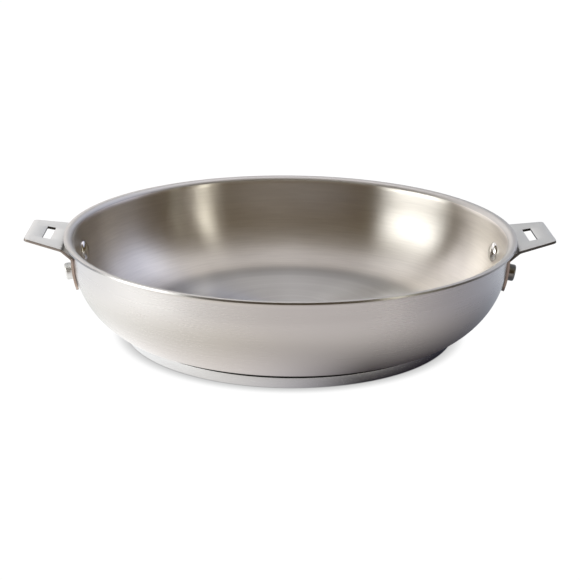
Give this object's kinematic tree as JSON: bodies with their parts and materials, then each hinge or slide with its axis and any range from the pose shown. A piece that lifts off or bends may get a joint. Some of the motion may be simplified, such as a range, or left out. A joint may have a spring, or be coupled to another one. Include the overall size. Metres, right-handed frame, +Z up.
{
  "type": "frying pan",
  "caption": "Round stainless steel frying pan with a curved side, flared pouring lip, thick sandwich base and a slotted lug riveted under the lip at each end for a clip-on handle.",
  "frame": {"origin": "centre of the foot, on the surface that the pan stands on", "axes": "+Z up through the bowl, +X towards the right-hand lug, +Y towards the far side of the picture"},
  "size_m": [0.302, 0.2598, 0.0591],
  "materials": {
    "bowl_steel": "satin brushed round the axis, turned rings on the floor",
    "base_steel": "polished ring, turned underside",
    "core_aluminium": "mill finish, sealed inside the base",
    "lug_steel": "fine satin",
    "rivet_steel": "polished"
  },
  "bodies": {
    "root": {"pan_body": "bowl_steel", "base_cap": "base_steel", "diffuser_disc": "core_aluminium", "lug_right": "lug_steel", "lug_left": "lug_steel", "rivet_right_front": "rivet_steel", "rivet_right_back": "rivet_steel", "rivet_left_front": "rivet_steel", "rivet_left_back": "rivet_steel"}
  },
  "joints": []
}
